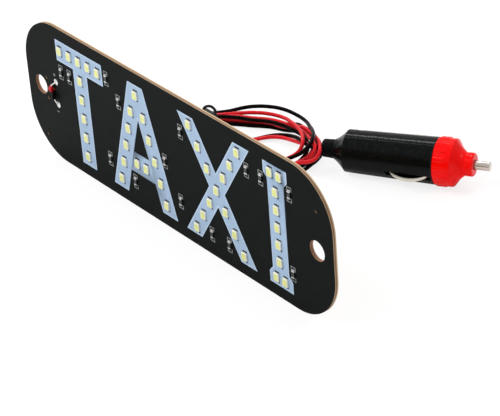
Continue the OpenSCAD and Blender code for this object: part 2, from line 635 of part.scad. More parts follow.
// the bow springs out of its slot; its two feet hook under the shell's wall
contact_steps = 32;
function bow_point(r, high, i) = r * [cos(asin(high / r) + i * (180 - 2 * asin(high / r)) / contact_steps),
    sin(asin(high / r) + i * (180 - 2 * asin(high / r)) / contact_steps)];
module side_contact(side) color("#c8c4ba") plug_rolled() scale([1, side, 1])
    translate([bow_s, 0, -contact_w / 2]) linear_extrude(contact_w) {
        foot_bottom = foot_top - contact_t;
        reach = slot_half + foot_l;
        polygon(concat([[reach, foot_bottom], [reach, foot_top]],
            [for (i = [0 : contact_steps]) bow_point(bow_r, foot_top, i)],
            [[-reach, foot_top], [-reach, foot_bottom]],
            [for (i = [contact_steps : -1 : 0]) bow_point(bow_r - contact_t, foot_bottom, i)]));
    }
module side_contact_near() side_contact(-1);
module side_contact_far() side_contact(1);
function rolled_in(side) = [side * wire_pitch / 2 * cos(plug_roll), -side * wire_pitch / 2 * sin(plug_roll)];
module red_inner_lead() color("#c8282d") plug_rolled() {
    p = rolled_in(1);
    tube([[0, p.x, p.y], [chamber_s, p.x, p.y], [(chamber_s + plate_s) / 2 - 1, p.x * 0.7, p.y * 0.7],
        [plate_s - 4, 0, 0], [plate_s - 2.42, 0, 0]], wire_d, 8, [0, 1, 0]);
}
module black_inner_lead() color("#141414") plug_rolled() {
    p = rolled_in(-1);
    tube([[0, p.x, p.y], [chamber_s - 1.6, p.x, p.y], [chamber_s + 0.4, p.x - 0.5, p.y - 0.9],
        [chamber_s + 2.6, p.x - 0.7, -lead_z * 0.45], [chamber_s + 4.6, -0.8, -lead_z * 0.8],
        [chamber_end - 0.8, -0.1, -lead_z * 0.98], [chamber_end + 0.8, 0, -lead_z], [strap_s, 0, -lead_z]],
        wire_d, 8, [0, 1, 0]);
}

board_laminate();
copper_plus_bus();
copper_minus_bus();
copper_tracks();
solder_mask();
panel() t_2d();  // letter_panel_t
panel() a_2d();  // letter_panel_a
panel() x_2d();  // letter_panel_x
panel() i_2d();  // letter_panel_i
led_bodies(leds_t);  // led_bodies_t
led_bodies(leds_a);  // led_bodies_a
led_bodies(leds_x);  // led_bodies_x
led_bodies(leds_i);  // led_bodies_i
led_windows(leds_t);  // led_windows_t
led_windows(leds_a);  // led_windows_a
led_windows(leds_x);  // led_windows_x
led_windows(leds_i);  // led_windows_i
led_terminals(leds_t);  // led_terminals_t
led_terminals(leds_a);  // led_terminals_a
led_terminals(leds_x);  // led_terminals_x
led_terminals(leds_i);  // led_terminals_i
resistor_bodies();
resistor_caps();
resistor_outlines();
polarity_marks();
solder_joint(1);  // solder_plus
solder_joint(-1);  // solder_minus
red_wire_end();
black_wire_end();
wire_tails();
red_wire_to_coil();
black_wire_to_coil();
wire_coil();
coil_tie();
tie_loop();
red_wire_to_plug();
black_wire_to_plug();
strain_relief();
shell_near();
shell_far();
shell_screw();
nose_cap();
nose_washer();
centre_pin();
fuse_tube();
fuse_caps();
fuse_wire();
pin_spring();
rear_contact();
earth_strap();
side_contact_near();
side_contact_far();
red_inner_lead();
black_inner_lead();
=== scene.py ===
import json
import math
import bpy
import bmesh
from mathutils import Matrix, Vector


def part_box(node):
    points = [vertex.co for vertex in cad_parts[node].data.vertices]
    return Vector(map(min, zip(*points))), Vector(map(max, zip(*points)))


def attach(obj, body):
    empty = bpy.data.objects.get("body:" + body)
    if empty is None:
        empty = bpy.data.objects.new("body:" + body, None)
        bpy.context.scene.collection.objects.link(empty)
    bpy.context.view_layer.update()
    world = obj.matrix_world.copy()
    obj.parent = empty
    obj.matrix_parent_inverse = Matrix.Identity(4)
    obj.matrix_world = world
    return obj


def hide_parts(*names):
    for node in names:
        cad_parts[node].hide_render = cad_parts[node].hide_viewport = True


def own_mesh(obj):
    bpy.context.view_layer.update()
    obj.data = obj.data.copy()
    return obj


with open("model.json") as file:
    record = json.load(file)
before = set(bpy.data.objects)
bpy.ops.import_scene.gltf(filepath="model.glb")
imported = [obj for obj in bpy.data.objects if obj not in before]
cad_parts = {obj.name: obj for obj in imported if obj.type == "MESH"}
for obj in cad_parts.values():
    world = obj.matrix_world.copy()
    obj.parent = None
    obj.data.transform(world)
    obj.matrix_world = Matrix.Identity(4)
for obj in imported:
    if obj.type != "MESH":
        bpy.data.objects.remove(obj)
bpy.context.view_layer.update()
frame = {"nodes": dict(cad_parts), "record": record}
scene = bpy.context.scene
cadNodes = frame["nodes"]
mm = 0.001
print("frame loaded,", len(cadNodes), "nodes")

# the camera looks down on the sign from its front right
viewpoint = {"place": (0.68020, -0.46498, 0.51797), "turn": (58.154, 3.687, 51.317), "lens": 173.43,
             "sensor": 36.0, "farthest": 50.0}
cameraData = bpy.data.cameras.new("signCamera")
cameraData.lens = viewpoint["lens"]
cameraData.sensor_width = viewpoint["sensor"]
cameraData.clip_end = viewpoint["farthest"]
camera = bpy.data.objects.new("signCamera", cameraData)
scene.collection.objects.link(camera)
camera.location = viewpoint["place"]
camera.rotation_euler = [math.radians(a) for a in viewpoint["turn"]]
scene.camera = camera


def addObject(name, data, body="sign"):
    piece = bpy.data.objects.new(name, data)
    scene.collection.objects.link(piece)
    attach(piece, body)
    return piece


def finishMesh(bm, name, body="sign", smoothAngle=40, recalc=True):
    mesh = bpy.data.meshes.new(name)
    if recalc:
        bmesh.ops.recalc_face_normals(bm, faces=bm.faces)
    for face in bm.faces:
        face.smooth = True
    for edge in bm.edges:
        if len(edge.link_faces) == 2 and edge.calc_face_angle(0) > math.radians(smoothAngle):
            edge.smooth = False
    bm.to_mesh(mesh)
    bm.free()
    return addObject(name, mesh, body)


def catmull(values, t, index):
    # cubic through unevenly spaced knots: values are (knot, value...) rows
    k = len(values)
    i = max(0, min(k - 2, index))
    a, b = values[i], values[i + 1]
    before, after = values[max(i - 1, 0)], values[min(i + 2, k - 1)]
    span = b[0] - a[0]
    u = (t - a[0]) / span
    out = []
    for c in range(1, len(a)):
        slopeA = (b[c] - before[c]) / (b[0] - before[0])
        slopeB = (after[c] - a[c]) / (after[0] - a[0])
        out.append((2 * u**3 - 3 * u**2 + 1) * a[c] + (u**3 - 2 * u**2 + u) * span * slopeA
                   + (3 * u**2 - 2 * u**3) * b[c] + (u**3 - u**2) * span * slopeB)
    return out


# the two wires of the lead, routes in millimetres: behind the board to the tie, round the coil, and over
# its far side into the plug; the twist is the pair's turn about each other on that last run
lead = {
    "diameter": 1.7, "pitch": 1.8, "holeX": -81.5, "middleZ": 32.5,
    "toCoil": [(-81.5, 0.8, 32.5), (-81.5, 5, 32.4), (-81.5, 9.5, 31), (-81.5, 13, 28), (-81.4, 15.5, 24),
               (-81.2, 17.5, 19), (-80.8, 19.5, 13.5), (-80, 22, 8.5), (-78.5, 25.2, 4.4), (-76.2, 29, 1.9),
               (-73.2, 33.2, 1), (-69.9, 37.5, 1), (-66.7, 41.8, 1), (-64, 45.9, 1), (-61.7, 49.6, 1.2),
               (-60.1, 53, 1.3)],
    "toPlug": [(-42.4, 50, 1.5), (-41.4, 54.4, 1.5), (-38.8, 58.2, 1.4), (-35.8, 61.4, 1.4),
               (-33.5, 64.9, 1.4), (-32.1, 68.4, 1.4), (-30.5, 71.6, 1.5), (-27.7, 74, 2), (-23.4, 75.1, 3),
               (-17.8, 74.6, 4.7), (-12.6, 73.7, 6.2), (-7.6, 73, 7.3)],
    "twist": [150, 150, 150, 150, 152, 156, 165, 180, 200, 225, 265, 320],
    "coilMiddle": (-30.5, 60.5),
    # angle clockwise from the tie, distance from the coil's middle, height
    "redTurns": [(0, 28.8, 1.5), (22, 23.0, 0.9), (45, 20.0, 0.9), (70, 20.6, 0.9), (88, 22.8, 1.2),
                 (97, 24.2, 2.2), (106, 25.5, 2.6), (115, 26.5, 2.6), (127, 27.4, 2.6), (137, 28.0, 2.6),
                 (147, 28.4, 2.6), (157, 28.5, 2.6), (165, 27.9, 2.5), (180, 27.5, 1.5), (195, 27.4, 0.9),
                 (225, 27.2, 0.9), (270, 25.2, 0.9), (315, 26.2, 0.9), (338, 26.6, 1.9), (360, 27.0, 3.25),
                 (382, 22.5, 2.7), (405, 19.3, 2.6), (450, 20.0, 2.6), (459, 22.4, 2.9), (468, 23.9, 4.7),
                 (480, 25.1, 6.3), (495, 27.5, 7.8), (507, 30.7, 9.2), (515, 33.8, 10.1), (521, 36.1, 10.2),
                 (525, 37.1, 9.0), (528, 36.9, 7.6), (532, 35.1, 6.4), (536, 32.0, 5.9), (550, 30.2, 5.0),
                 (585, 29.0, 4.3), (630, 27.0, 4.3), (675, 28.0, 4.3), (695, 27.7, 6.0), (708, 27.2, 5.7),
                 (720, 27.0, 5.0), (742, 24.6, 4.3), (765, 22.8, 4.8), (802, 22.2, 5.3), (822, 20.9, 6.6),
                 (845, 21.6, 8.2), (864, 23.9, 9.6), (876, 26.3, 9.9), (881, 27.1, 8.6), (884, 26.6, 6.8),
                 (887, 25.2, 5.2), (891.4, 23.4, 4.0), (905, 22.6, 3.6), (945, 25.4, 4.3), (968, 24.8, 3.5),
                 (990, 24.3, 3.0), (1035, 25.3, 2.6), (1058, 25.2, 2.9), (1080, 25.2, 3.25),
                 (1092, 23.6, 4.2), (1102, 21.9, 4.5), (1125, 18.9, 4.3), (1170, 20.3, 4.3),
                 (1189, 22.4, 4.4), (1206, 24.4, 5.6), (1221, 26.6, 7.4), (1231, 29.6, 9.0),
                 (1239, 32.6, 10.1), (1241.1, 33.6, 9.5), (1243.9, 33.9, 7.8), (1246.4, 32.6, 6.1),
                 (1249, 30.6, 4.9), (1253, 29.4, 4.4), (1275, 27.6, 3.4), (1305, 26.3, 2.7),
                 (1328, 24.0, 2.7), (1350, 21.6, 2.2), (1372, 20.1, 1.8)],
    "blackTurns": [(0, 27.0, 1.5), (22, 21.2, 0.9), (45, 18.2, 0.9), (70, 18.8, 0.9), (90, 20.4, 0.9),
                   (100, 23.5, 0.9), (109, 27.0, 0.9), (125, 28.9, 0.9), (136, 30.6, 0.9), (144, 31.9, 0.9),
                   (153, 32.0, 0.9), (161, 31.5, 0.9), (170, 31.4, 0.9), (195, 30.0, 0.9), (225, 29.0, 0.9),
                   (270, 27.0, 0.9), (315, 28.0, 0.9), (338, 28.3, 2.2), (360, 28.8, 3.25),
                   (382, 24.3, 2.7), (405, 21.1, 2.6), (450, 22.2, 2.6), (459, 24.0, 4.0), (468, 25.0, 4.4),
                   (477, 25.9, 4.4), (486, 27.1, 4.4), (496, 29.1, 4.4), (505, 30.6, 4.2), (513, 31.6, 3.8),
                   (520, 31.7, 3.2), (527, 31.0, 2.7), (550, 29.6, 2.6), (585, 28.1, 2.6), (630, 26.1, 2.6),
                   (675, 27.1, 2.6), (695, 27.7, 4.1), (708, 28.4, 4.5), (720, 28.8, 5.0), (742, 26.8, 4.6),
                   (754, 26.0, 5.6), (765, 25.4, 6.4), (795, 25.6, 6.9), (822, 26.8, 6.2), (845, 26.7, 8.3),
                   (862, 28.6, 10.4), (871, 30.1, 11.4), (877, 31.1, 11.8), (880, 31.5, 11.4),
                   (886, 31.4, 10.2), (891, 30.4, 8.7), (894, 28.4, 7.3), (899, 26.3, 6.0),
                   (915, 26.6, 5.0), (945, 27.2, 4.3), (968, 26.5, 4.5), (990, 25.4, 4.4),
                   (1035, 26.2, 4.3), (1058, 25.7, 4.7), (1080, 25.2, 5.0), (1102, 20.2, 4.9),
                   (1125, 17.1, 4.4), (1170, 18.5, 4.3), (1191, 20.4, 4.4), (1202, 22.6, 4.4),
                   (1212, 24.5, 4.4), (1223, 26.2, 3.8), (1232, 26.6, 2.7), (1241, 26.2, 1.6),
                   (1250, 25.6, 1.0), (1275, 25.4, 0.9), (1305, 25.2, 0.9), (1328, 24.2, 0.9),
                   (1350, 22.8, 0.9), (1372, 21.6, 0.9)],
    # along the plug's axis: through the neck, then red to the rear contact and black down to the earth strap
    "neckPlaces": (-4, 2, 9),
    "redInner": [(13, 0.75, -0.3), (16.2, 0.15, -0.06), (18.4, 0, 0)],
    "blackInner": [(11.9, -1.2, -0.5), (14, -1.3, -2.3), (16.2, -0.8, -4.1), (19, -0.1, -5.05),
                   (24.3, 0, -5.15)],
    # each front end from its bare tip: past the hole's middle, out of the board, up or down
    "front": [(0.85, -1.95, 2.7), (0.5, -2.0, 1.8), (0.2, -1.85, 0.9), (0, -0.9, 0.1)],
    "redLength": 0.80, "blackLength": 0.81,
}
plug = {"tail": (2.7, 74.9, 8.623), "yaw": 29.5, "tilt": 1.9378, "roll": 22.0}
plugLevel = (Matrix.Translation(Vector(plug["tail"])) @ Matrix.Rotation(math.radians(plug["yaw"]), 4, "Z")
             @ Matrix.Rotation(-math.radians(plug["tilt"]), 4, "Y"))
plugRolled = plugLevel @ Matrix.Rotation(math.radians(plug["roll"]), 4, "X")


def beside(route, side, twist=None):
    # the pair side by side, or turned about each other by an angle at each point
    out = []
    for i, p in enumerate(route):
        ahead = Vector(route[min(i + 1, len(route) - 1)]) - Vector(route[max(i - 1, 0)])
        left = Vector((-ahead.y, ahead.x, 0)).normalized()
        angle = math.radians(twist[i]) if twist else 0
        offset = math.cos(angle) * left + math.sin(angle) * Vector((0, 0, 1))
        out.append(Vector(p) + side * lead["pitch"] / 2 * offset)
    return out


def coilTurns(rows, step=24):
    # the rows as points, with more between them where they lie over a step apart
    out = []
    middle = Vector((*lead["coilMiddle"], 0))
    angles = [rows[0][0]]
    for here, ahead in zip(rows, rows[1:]):
        parts = math.ceil((ahead[0] - here[0]) / step)
        angles += [here[0] + (ahead[0] - here[0]) * (i + 1) / parts for i in range(parts)]
    for angle in angles:
        index = max(i for i in range(len(rows)) if rows[i][0] <= angle)
        distance, height = catmull(rows, angle, index)
        a = math.radians(angle)
        out.append(middle + Vector((-distance * math.cos(a), distance * math.sin(a), height)))
    return out


def frontEnd(side):
    # from the bare end on the front back through the hole
    middle = lead["holeX"] - side * lead["pitch"] / 2
    return [Vector((middle + x, y, lead["middleZ"] + side * z)) for x, y, z in lead["front"]]


def makeWire(name, side, turns):
    half = side * lead["pitch"] / 2
    inPlug = [plugLevel @ Vector((s, half, 0)) for s in lead["neckPlaces"]]
    inPlug += [plugRolled @ Vector(p) for p in lead["redInner" if side > 0 else "blackInner"]]
    behind = beside(lead["toCoil"], side) + coilTurns(turns) + beside(lead["toPlug"], side, lead["twist"])
    points = frontEnd(side) + behind + inPlug
    curve = bpy.data.curves.new(name, "CURVE")
    curve.dimensions = "3D"
    curve.resolution_u = 5
    curve.bevel_depth = lead["diameter"] / 2
    curve.bevel_resolution = 3
    curve.use_fill_caps = True
    spline = curve.splines.new("BEZIER")
    spline.bezier_points.add(len(points) - 1)
    for knot, p in zip(spline.bezier_points, points):
        knot.co = p * mm
        knot.radius = mm  # the curve works in metres, its width in millimetres
        knot.handle_left_type = knot.handle_right_type = "AUTO"
    return addObject(name, curve)


redWire = makeWire("redWire", 1, lead["redTurns"])
blackWire = makeWire("blackWire", -1, lead["blackTurns"])
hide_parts("red_wire_end", "red_wire_to_coil", "red_wire_to_plug", "wire_coil", "red_inner_lead")
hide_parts("black_wire_end", "black_wire_to_coil", "black_wire_to_plug", "black_inner_lead")
print("wires made")


# shader groups that several finishes share
grainLook = {"fineDetail": 3.0, "coarse": 0.08, "coarseDetail": 4.0}
wearLook = {"samples": 4, "detail": 3.0, "gain": 8.0}
dustLook = {"upFrom": 0.3, "detail": 5.0, "speckFrom": 0.45, "speckTo": 0.75}


def newGroup(name, inputs, outputs):
    group = bpy.data.node_groups.new(name, "ShaderNodeTree")
    for label, kind, value in inputs:
        socket = group.interface.new_socket(label, in_out="INPUT", socket_type="NodeSocket" + kind)
        socket.default_value = value
    for label in outputs:
        group.interface.new_socket(label, in_out="OUTPUT", socket_type="NodeSocketFloat")
    return group, group.nodes.new("NodeGroupInput"), group.nodes.new("NodeGroupOutput")


def addNode(tree, kind, settings=None, **inputs):
    # i0, i1 and so on name a socket by its number; a link or a plain value goes in
    node = tree.nodes.new("ShaderNode" + kind)
    for key, value in (settings or {}).items():
        setattr(node, key, value)
    for key, value in inputs.items():
        numbered = key[0] == "i" and key[1:].isdigit()
        socket = node.inputs[int(key[1:]) if numbered else key.replace("_", " ")]
        if isinstance(value, bpy.types.NodeSocket):
            tree.links.new(value, socket)
        else:
            socket.default_value = value
    return node


def calc(tree, operation, *values, clamp=False):
    sockets = {"i" + str(i): value for i, value in enumerate(values)}
    return addNode(tree, "Math", {"operation": operation, "use_clamp": clamp}, **sockets).outputs[0]


def ranged(tree, value, settings=None, **limits):
    return addNode(tree, "MapRange", settings, Value=value, **limits).outputs[0]


def mixTone(tree, share, under, over):
    # from one colour to another; each is a link or three numbers
    tones = [tone if isinstance(tone, bpy.types.NodeSocket) else (*tone, 1) for tone in (under, over)]
    return addNode(tree, "Mix", {"data_type": "RGBA"}, i0=share, i6=tones[0], i7=tones[1]).outputs[2]


# fine grain: noise around a half, and a coarser one
grain, gIn, gOut = newGroup("surfaceGrain", [("Scale", "Float", 2000.0), ("Stretch", "Vector", (1, 1, 1)),
                                             ("Contrast", "Float", 1.0)], ["Value", "Coarse"])
where = addNode(grain, "TexCoord").outputs["Object"]
stretched = addNode(grain, "VectorMath", {"operation": "MULTIPLY"}, i0=where, i1=gIn.outputs["Stretch"])
along = stretched.outputs[0]
fine = addNode(grain, "TexNoise", Vector=along, Scale=gIn.outputs["Scale"], Detail=grainLook["fineDetail"])
coarseScale = calc(grain, "MULTIPLY", gIn.outputs["Scale"], grainLook["coarse"])
coarse = addNode(grain, "TexNoise", Vector=along, Scale=coarseScale, Detail=grainLook["coarseDetail"])
centred = calc(grain, "SUBTRACT", fine.outputs["Fac"], 0.5)
scaled = calc(grain, "MULTIPLY_ADD", centred, gIn.outputs["Contrast"], 0.5)
grain.links.new(scaled, gOut.inputs["Value"])
grain.links.new(coarse.outputs["Fac"], gOut.inputs["Coarse"])

# wear along edges: where the rounded normal leaves the flat one, broken up by noise
wear, wIn, wOut = newGroup("edgeWear", [("Radius", "Float", 0.0003), ("Amount", "Float", 0.5),
                                        ("Scale", "Float", 900.0)], ["Mask"])
flat = addNode(wear, "NewGeometry").outputs["Normal"]
rounded = addNode(wear, "Bevel", {"samples": wearLook["samples"]}, Radius=wIn.outputs["Radius"]).outputs[0]
match = addNode(wear, "VectorMath", {"operation": "DOT_PRODUCT"}, i0=rounded, i1=flat).outputs["Value"]
off = calc(wear, "SUBTRACT", 1.0, match)
wearPlace = addNode(wear, "TexCoord").outputs["Object"]
broken = addNode(wear, "TexNoise", Vector=wearPlace, Scale=wIn.outputs["Scale"], Detail=wearLook["detail"])
patchy = calc(wear, "MULTIPLY", calc(wear, "MULTIPLY", off, wIn.outputs["Amount"]), broken.outputs["Fac"])
wear.links.new(calc(wear, "MULTIPLY", patchy, wearLook["gain"], clamp=True), wOut.inputs["Mask"])

# dust settles on what faces up
dust, dIn, dOut = newGroup("settledDust", [("Amount", "Float", 0.2), ("Scale", "Float", 600.0)], ["Mask"])
split = addNode(dust, "SeparateXYZ", i0=addNode(dust, "NewGeometry").outputs["Normal"])
upward = ranged(dust, split.outputs["Z"], From_Min=dustLook["upFrom"])
dustPlace = addNode(dust, "TexCoord").outputs["Object"]
specks = addNode(dust, "TexNoise", Vector=dustPlace, Scale=dIn.outputs["Scale"], Detail=dustLook["detail"])
thin = ranged(dust, specks.outputs["Fac"], From_Min=dustLook["speckFrom"], From_Max=dustLook["speckTo"])
settled = calc(dust, "MULTIPLY", upward, thin)
dust.links.new(calc(dust, "MULTIPLY", settled, dIn.outputs["Amount"]), dOut.inputs["Mask"])
print("shader groups built")


# finishes by slot; vary is how far the colour drifts, uneven how far the gloss does
finishes = {
    "solder_mask": {"color": (0.0028, 0.0040, 0.0034), "rough": 0.5, "specular": 0.03, "bump": 0.06,
                    "scale": 2600, "vary": 0.35, "dust": 0.03},
    "panel_ink": {"color": (0.276, 0.372, 0.500), "rough": 0.55, "specular": 0.2, "bump": 0.05, "scale": 1500,
                  "vary": 0.08},
    "panel_edge": {"color": (0.40, 0.50, 0.63), "rough": 0.5, "specular": 0.2, "bump": 0.08, "scale": 1800,
                   "vary": 0.10},
    "white_ink": {"color": (0.17, 0.18, 0.18), "rough": 0.6, "bump": 0.1, "scale": 2500, "vary": 0.5},
    "led_case": {"color": (0.74, 0.74, 0.66), "rough": 0.35, "bump": 0.03, "scale": 3000, "vary": 0.06},
    "phosphor": {"color": (0.545, 0.565, 0.175), "rough": 0.30, "specular": 0.4, "bump": 0.05, "scale": 5000,
                 "vary": 0.14},
    "tinned": {"color": (0.62, 0.62, 0.61), "rough": 0.36, "metal": 1.0, "bump": 0.15, "scale": 1800,
               "vary": 0.15},
    "black_ceramic": {"color": (0.012, 0.012, 0.012), "rough": 0.4, "specular": 0.3, "bump": 0.08,
                      "scale": 3000, "vary": 0.2},
    "red_sleeve": {"color": (0.50, 0.005, 0.010), "rough": 0.30, "specular": 0.18, "uneven": 0.08,
                   "bump": 0.03, "scale": 1200, "vary": 0.14, "dust": 0.02},
    "black_sleeve": {"color": (0.0022, 0.0010, 0.0013), "rough": 0.26, "specular": 0.025, "uneven": 0.06,
                     "bump": 0.03, "scale": 1200, "vary": 0.3, "dust": 0.02},
    "black_tie": {"color": (0.006, 0.006, 0.0065), "rough": 0.38, "specular": 0.2, "bump": 0.05,
                  "scale": 1500, "vary": 0.2},
    "black_rubber": {"color": (0.0026, 0.0028, 0.0032), "rough": 0.38, "specular": 0.02, "bump": 0.06,
                     "scale": 1800, "vary": 0.3, "dust": 0.02},
    "black_plastic": {"color": (0.0012, 0.0018, 0.0019), "rough": 0.17, "specular": 0.07, "uneven": 0.02,
                      "bump": 0.015, "scale": 900, "vary": 0.3, "wear": 0.35, "worn": (0.10, 0.105, 0.11),
                      "dust": 0.02},
    "red_plastic": {"color": (0.72, 0.0008, 0.0005), "rough": 0.15, "specular": 0.085, "uneven": 0.04,
                    "bump": 0.03, "scale": 900, "vary": 0.07, "wear": 0.25, "worn": (0.95, 0.14, 0.11)},
    "steel": {"color": (0.56, 0.56, 0.56), "rough": 0.32, "metal": 1.0, "bump": 0.08, "scale": 1500,
              "vary": 0.12},
    "washer_fibre": {"color": (0.45, 0.30, 0.16), "rough": 0.8, "bump": 0.25, "scale": 1500, "vary": 0.3},
    "nickel": {"color": (0.46, 0.42, 0.38), "rough": 0.17, "metal": 1.0, "bump": 0.05, "scale": 1300,
               "vary": 0.10, "brushed": (0.15, 1, 1), "wear": 0.2, "worn": (0.72, 0.64, 0.50)},
    "contact_metal": {"color": (0.72, 0.69, 0.62), "rough": 0.32, "metal": 1.0, "bump": 0.10, "scale": 1300,
                      "vary": 0.12, "brushed": (0.2, 1, 1), "wear": 0.25, "worn": (0.66, 0.54, 0.36)},
    "copper": {"color": (0.60, 0.30, 0.16), "rough": 0.4, "metal": 1.0, "bump": 0.05, "scale": 1500,
               "vary": 0.15},
    "coil_sleeve": {"color": (0.20, 0.02, 0.02), "rough": 0.35, "bump": 0.03, "scale": 1200, "vary": 0.2},
    "glass": {"color": (0.93, 0.97, 0.97), "rough": 0.05, "bump": 0.02, "scale": 600, "vary": 0.02,
              "clear": 1.0},
}
surface = {"uneven": 0.12, "dusty": (0.30, 0.29, 0.27), "dustRough": 0.4, "wearRough": 0.1,
           "bumpDepth": 0.0001}
made = {}


def finish(name):
    if name in made:
        return made[name]
    f = finishes[name]
    material = bpy.data.materials.new(name)
    material.use_nodes = True
    tree = material.node_tree
    shader = tree.nodes["Principled BSDF"]
    shader.inputs["Metallic"].default_value = f.get("metal", 0.0)
    shader.inputs["Specular IOR Level"].default_value = f.get("specular", 0.5)
    shader.inputs["Transmission Weight"].default_value = f.get("clear", 0.0)
    texture = addNode(tree, "Group", {"node_tree": grain}, Scale=float(f["scale"]), Contrast=1.0)
    texture.inputs["Stretch"].default_value = f.get("brushed", (1, 1, 1))
    # the colour drifts a little over the surface
    dark = [c * (1 - f["vary"]) for c in f["color"]]
    light = [min(1.0, c * (1 + f["vary"])) for c in f["color"]]
    color = mixTone(tree, texture.outputs["Coarse"], dark, light)
    uneven = f.get("uneven", surface["uneven"])
    roughness = calc(tree, "MULTIPLY_ADD", texture.outputs["Value"], uneven, f["rough"] - uneven / 2)
    for key, group, tone, rougher in (("dust", dust, surface["dusty"], surface["dustRough"]),
                                      ("wear", wear, f.get("worn"), surface["wearRough"])):
        if key in f:
            mask = addNode(tree, "Group", {"node_tree": group}, Amount=f[key]).outputs["Mask"]
            color = mixTone(tree, mask, color, tone)
            roughness = calc(tree, "MULTIPLY_ADD", mask, rougher, roughness, clamp=True)
    tree.links.new(color, shader.inputs["Base Color"])
    tree.links.new(roughness, shader.inputs["Roughness"])
    bump = addNode(tree, "Bump", Strength=f["bump"], Distance=surface["bumpDepth"],
                   Height=texture.outputs["Value"])
    tree.links.new(bump.outputs["Normal"], shader.inputs["Normal"])
    made[name] = material
    return material


# the laminate shows bands of layering on every cut edge, the palest of them a painted highlight along the
# edge's back corner, and a paler bare back
laminate = {
    "edgeLayersAndHighlight": [(0.0, (0.24, 0.16, 0.0912)), (0.16, (0.336, 0.232, 0.137)), (0.34, (0.104, 0.044, 0.0198)),
               (0.52, (0.176, 0.084, 0.0418)), (0.70, (0.368, 0.248, 0.137)), (1.0, (0.48, 0.384, 0.236))],
    "layerWave": 0.16, "back": (0.46, 0.33, 0.18), "backDark": (0.36, 0.24, 0.12), "backFrom": 0.7,
    "thickness": 1.6, "weave": 2.2, "weaveShare": 0.18, "scale": 1400.0, "rough": 0.62, "uneven": 0.2,
    "specular": 0.3, "bump": 0.12, "dust": 0.06, "dusty": (0.55, 0.52, 0.46),
    # the two mounting holes: where, how wide, and how much painted shade darkens their walls
    "holeX": 90.5, "holeZ": 32.5, "drilled": 4.7, "holeShadeTone": (0.14, 0.045, 0.016), "holeShadeShare": 0.62,
}


def laminateFinish():
    material = bpy.data.materials.new("laminate")
    material.use_nodes = True
    tree = material.node_tree
    shader = tree.nodes["Principled BSDF"]
    shader.inputs["Specular IOR Level"].default_value = laminate["specular"]
    axes = addNode(tree, "SeparateXYZ", i0=addNode(tree, "TexCoord").outputs["Object"])
    texture = addNode(tree, "Group", {"node_tree": grain}, Scale=laminate["scale"], Contrast=1.0)
    half = laminate["thickness"] / 2 * mm
    depth = ranged(tree, axes.outputs["Y"], From_Min=-half, From_Max=half)
    wave = laminate["layerWave"]
    uneven = calc(tree, "MULTIPLY_ADD", texture.outputs["Coarse"], wave, -wave / 2)
    # colour across the cut edge, front to back; its palest stop, at the back, is a painted highlight
    ramp = addNode(tree, "ValToRGB", i0=calc(tree, "ADD", depth, uneven))
    stops = ramp.color_ramp.elements
    while len(stops) < len(laminate["edgeLayersAndHighlight"]):
        stops.new(0.5)
    for stop, (position, tone) in zip(stops, laminate["edgeLayersAndHighlight"]):
        stop.position = position
        stop.color = (*tone, 1)
    # glass cloth shows faintly through the resin of the back
    rate = laminate["weave"] * math.pi / mm
    threads = [calc(tree, "SINE", calc(tree, "MULTIPLY", axes.outputs[axis], rate)) for axis in ("X", "Z")]
    crossed = calc(tree, "MULTIPLY", *threads)
    woven = calc(tree, "MULTIPLY_ADD", crossed, laminate["weaveShare"], texture.outputs["Coarse"])
    back = mixTone(tree, woven, laminate["backDark"], laminate["back"])
    facing = addNode(tree, "SeparateXYZ", i0=addNode(tree, "NewGeometry").outputs["Normal"])
    isBack = calc(tree, "GREATER_THAN", facing.outputs["Y"], laminate["backFrom"])
    color = mixTone(tree, isBack, ramp.outputs["Color"], back)
    # painted shade: the drilled walls of the two holes are coloured darker and browner than the sawn edge,
    # for the shade inside them
    besideX = calc(tree, "SUBTRACT", calc(tree, "ABSOLUTE", axes.outputs["X"]), laminate["holeX"] * mm)
    besideZ = calc(tree, "SUBTRACT", axes.outputs["Z"], laminate["holeZ"] * mm)
    fromHole = addNode(tree, "CombineXYZ", X=besideX, Y=besideZ)
    reach = addNode(tree, "VectorMath", {"operation": "LENGTH"}, i0=fromHole.outputs[0]).outputs["Value"]
    inHole = calc(tree, "LESS_THAN", reach, laminate["drilled"] * mm)
    color = mixTone(tree, calc(tree, "MULTIPLY", inHole, laminate["holeShadeShare"]), color, laminate["holeShadeTone"])
    dusted = addNode(tree, "Group", {"node_tree": dust}, Amount=laminate["dust"]).outputs["Mask"]
    tree.links.new(mixTone(tree, dusted, color, laminate["dusty"]), shader.inputs["Base Color"])
    rough = calc(tree, "MULTIPLY_ADD", texture.outputs["Value"], laminate["uneven"],
                 laminate["rough"] - laminate["uneven"] / 2)
    tree.links.new(rough, shader.inputs["Roughness"])
    height = calc(tree, "ADD", woven, texture.outputs["Value"])
    bump = addNode(tree, "Bump", Strength=laminate["bump"], Distance=surface["bumpDepth"], Height=height)
    tree.links.new(bump.outputs["Normal"], shader.inputs["Normal"])
    return material


made["laminate"] = laminateFinish()


def paint(piece, name):
    piece.data.materials.clear()
    piece.data.materials.append(finish(name))
    return piece


paint(redWire, "red_sleeve")
paint(blackWire, "black_sleeve")
for entry in frame["record"]["subparts"]:
    node = cadNodes[entry["node"]]
    node.data.materials.clear()
    node.data.materials.append(finish(entry["material_slot"]))
print("finishes set")

